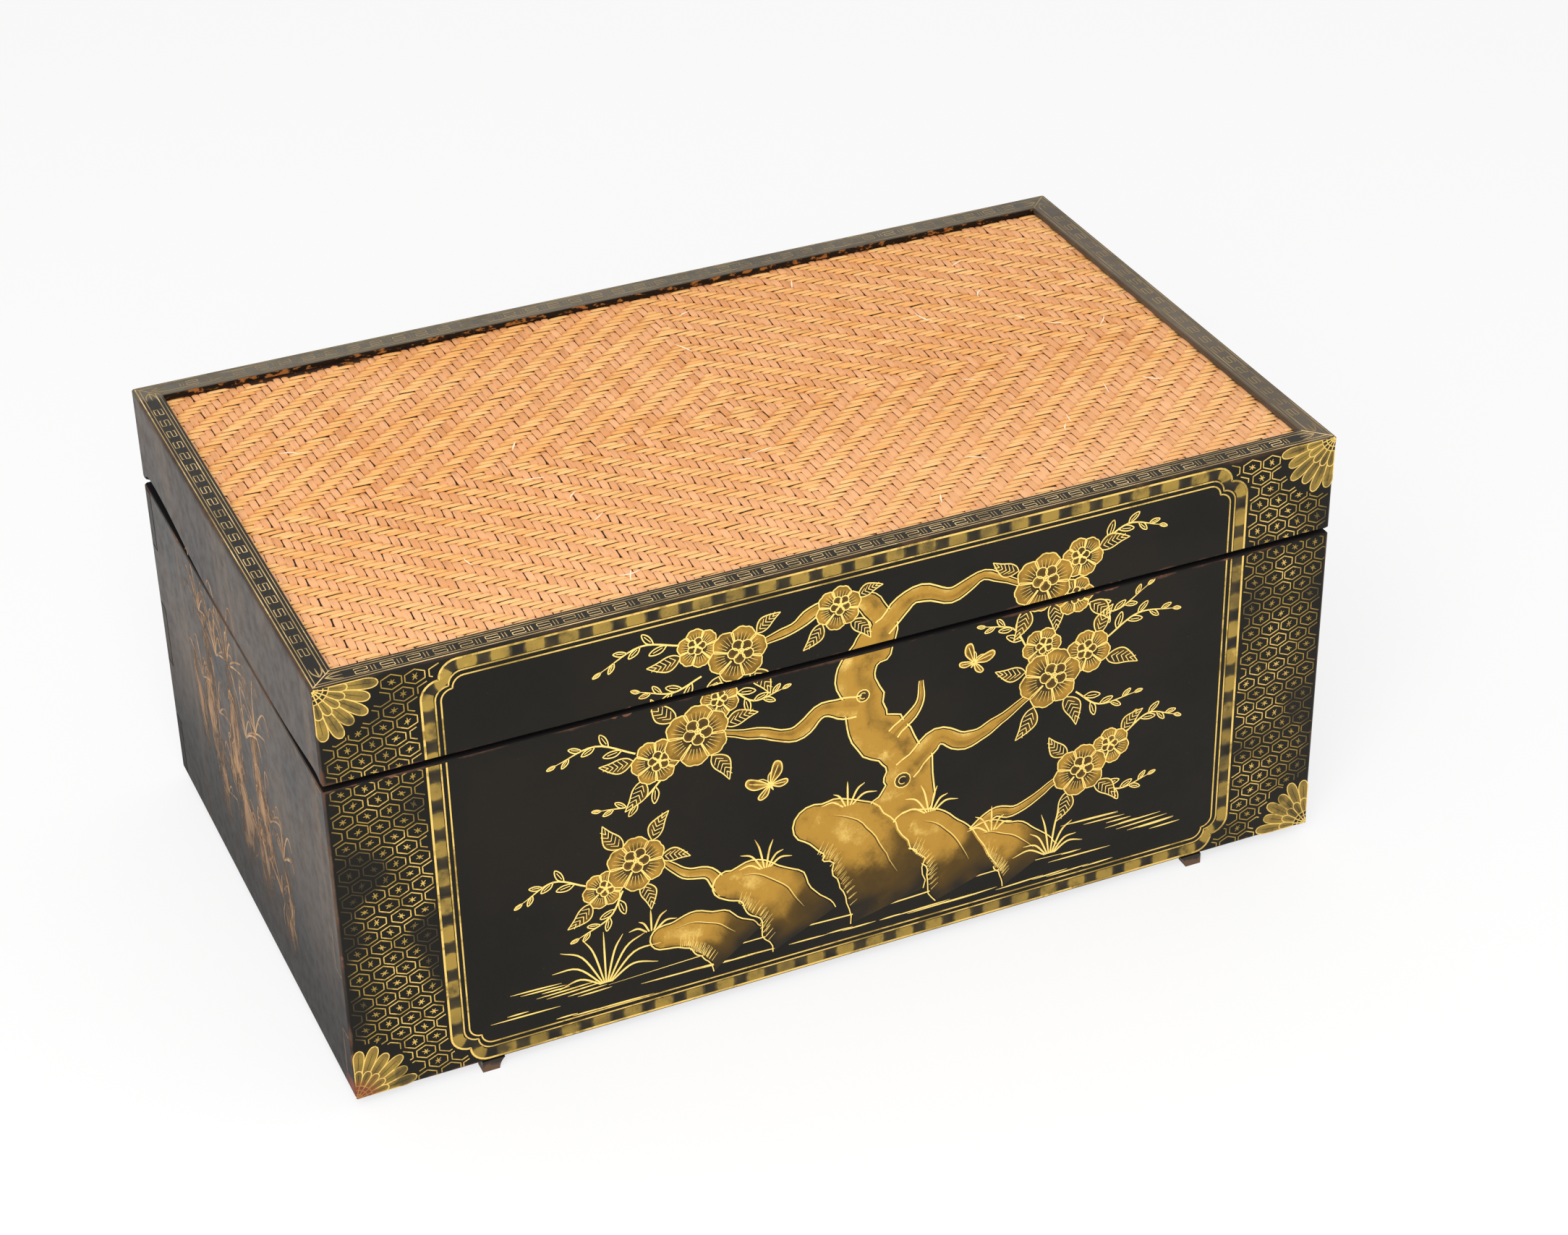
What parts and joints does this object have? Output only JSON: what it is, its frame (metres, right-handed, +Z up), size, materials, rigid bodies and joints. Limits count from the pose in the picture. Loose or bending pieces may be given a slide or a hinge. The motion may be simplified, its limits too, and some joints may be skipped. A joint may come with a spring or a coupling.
{
  "type": "lacquer chest",
  "caption": "Low rectangular lacquered wooden chest on runners, with a hinged lid topped by a woven cane mat inside a mitred rim, and gold ornament on black.",
  "frame": {"origin": "middle of the bounding box's footprint, at the level of the floor under the runners", "axes": "+X along the chest's length to the right as seen from the front, +Y to the back where the hinges are, +Z up"},
  "size_m": [0.85, 0.5084, 0.3886],
  "materials": {
    "front_lacquer": "glossy black lacquer over wood, gold painted, rubbed at the edges",
    "end_lacquer": "glossy black lacquer over wood, faded gold, scratched",
    "back_lacquer": "plain black lacquer over wood, less glossy",
    "rim_lacquer": "black lacquer with gold lines and key fret",
    "inner_lacquer": "thin dark red-brown lacquer, satin",
    "foot_lacquer": "black lacquer worn to brown wood on the lower edge",
    "bare_wood": "bare worn wood",
    "cane": "split cane, twill woven, satin",
    "brass": "aged brass"
  },
  "bodies": {
    "chest": {"front_board": "front_lacquer", "back_board": "back_lacquer", "left_board": "end_lacquer", "right_board": "end_lacquer", "bottom_board": "inner_lacquer", "left_runner": "bare_wood", "right_runner": "bare_wood", "front_left_foot": "foot_lacquer", "front_right_foot": "foot_lacquer", "back_left_foot": "foot_lacquer", "back_right_foot": "foot_lacquer", "front_lip": "inner_lacquer", "back_lip": "inner_lacquer", "left_lip": "inner_lacquer", "right_lip": "inner_lacquer", "left_hinge_lower_leaf": "brass", "right_hinge_lower_leaf": "brass", "left_hinge_pin": "brass", "right_hinge_pin": "brass", "hinge_lower_screws": "brass", "stay_stud": "brass"},
    "lid": {"lid_front_rail": "front_lacquer", "lid_back_rail": "back_lacquer", "lid_left_rail": "end_lacquer", "lid_right_rail": "end_lacquer", "lid_panel": "inner_lacquer", "cane_mat": "cane", "front_rim": "rim_lacquer", "back_rim": "rim_lacquer", "left_rim": "rim_lacquer", "right_rim": "rim_lacquer", "front_lid_lining": "inner_lacquer", "back_lid_lining": "inner_lacquer", "left_lid_lining": "inner_lacquer", "right_lid_lining": "inner_lacquer", "left_hinge_upper_leaf": "brass", "right_hinge_upper_leaf": "brass", "hinge_upper_screws": "brass", "stay_post": "brass"},
    "stay": {"stay_bar": "brass"}
  },
  "joints": [
    {"name": "lid_hinge", "type": "hinge", "parent": "chest", "child": "lid", "pos_m": [0, 0.2502, 0.3016], "axis": [-1, 0, 0], "range_deg": [0, 100]},
    {"name": "stay_swing", "type": "hinge", "parent": "lid", "child": "stay", "pos_m": [0.39645, 0.10332, 0.3316], "axis": [1, 0, 0], "range_deg": [0, 50]}
  ],
  "couplings": [
    {"joint": "stay_swing", "follows": "lid_hinge", "ratio": 0.5}
  ]
}
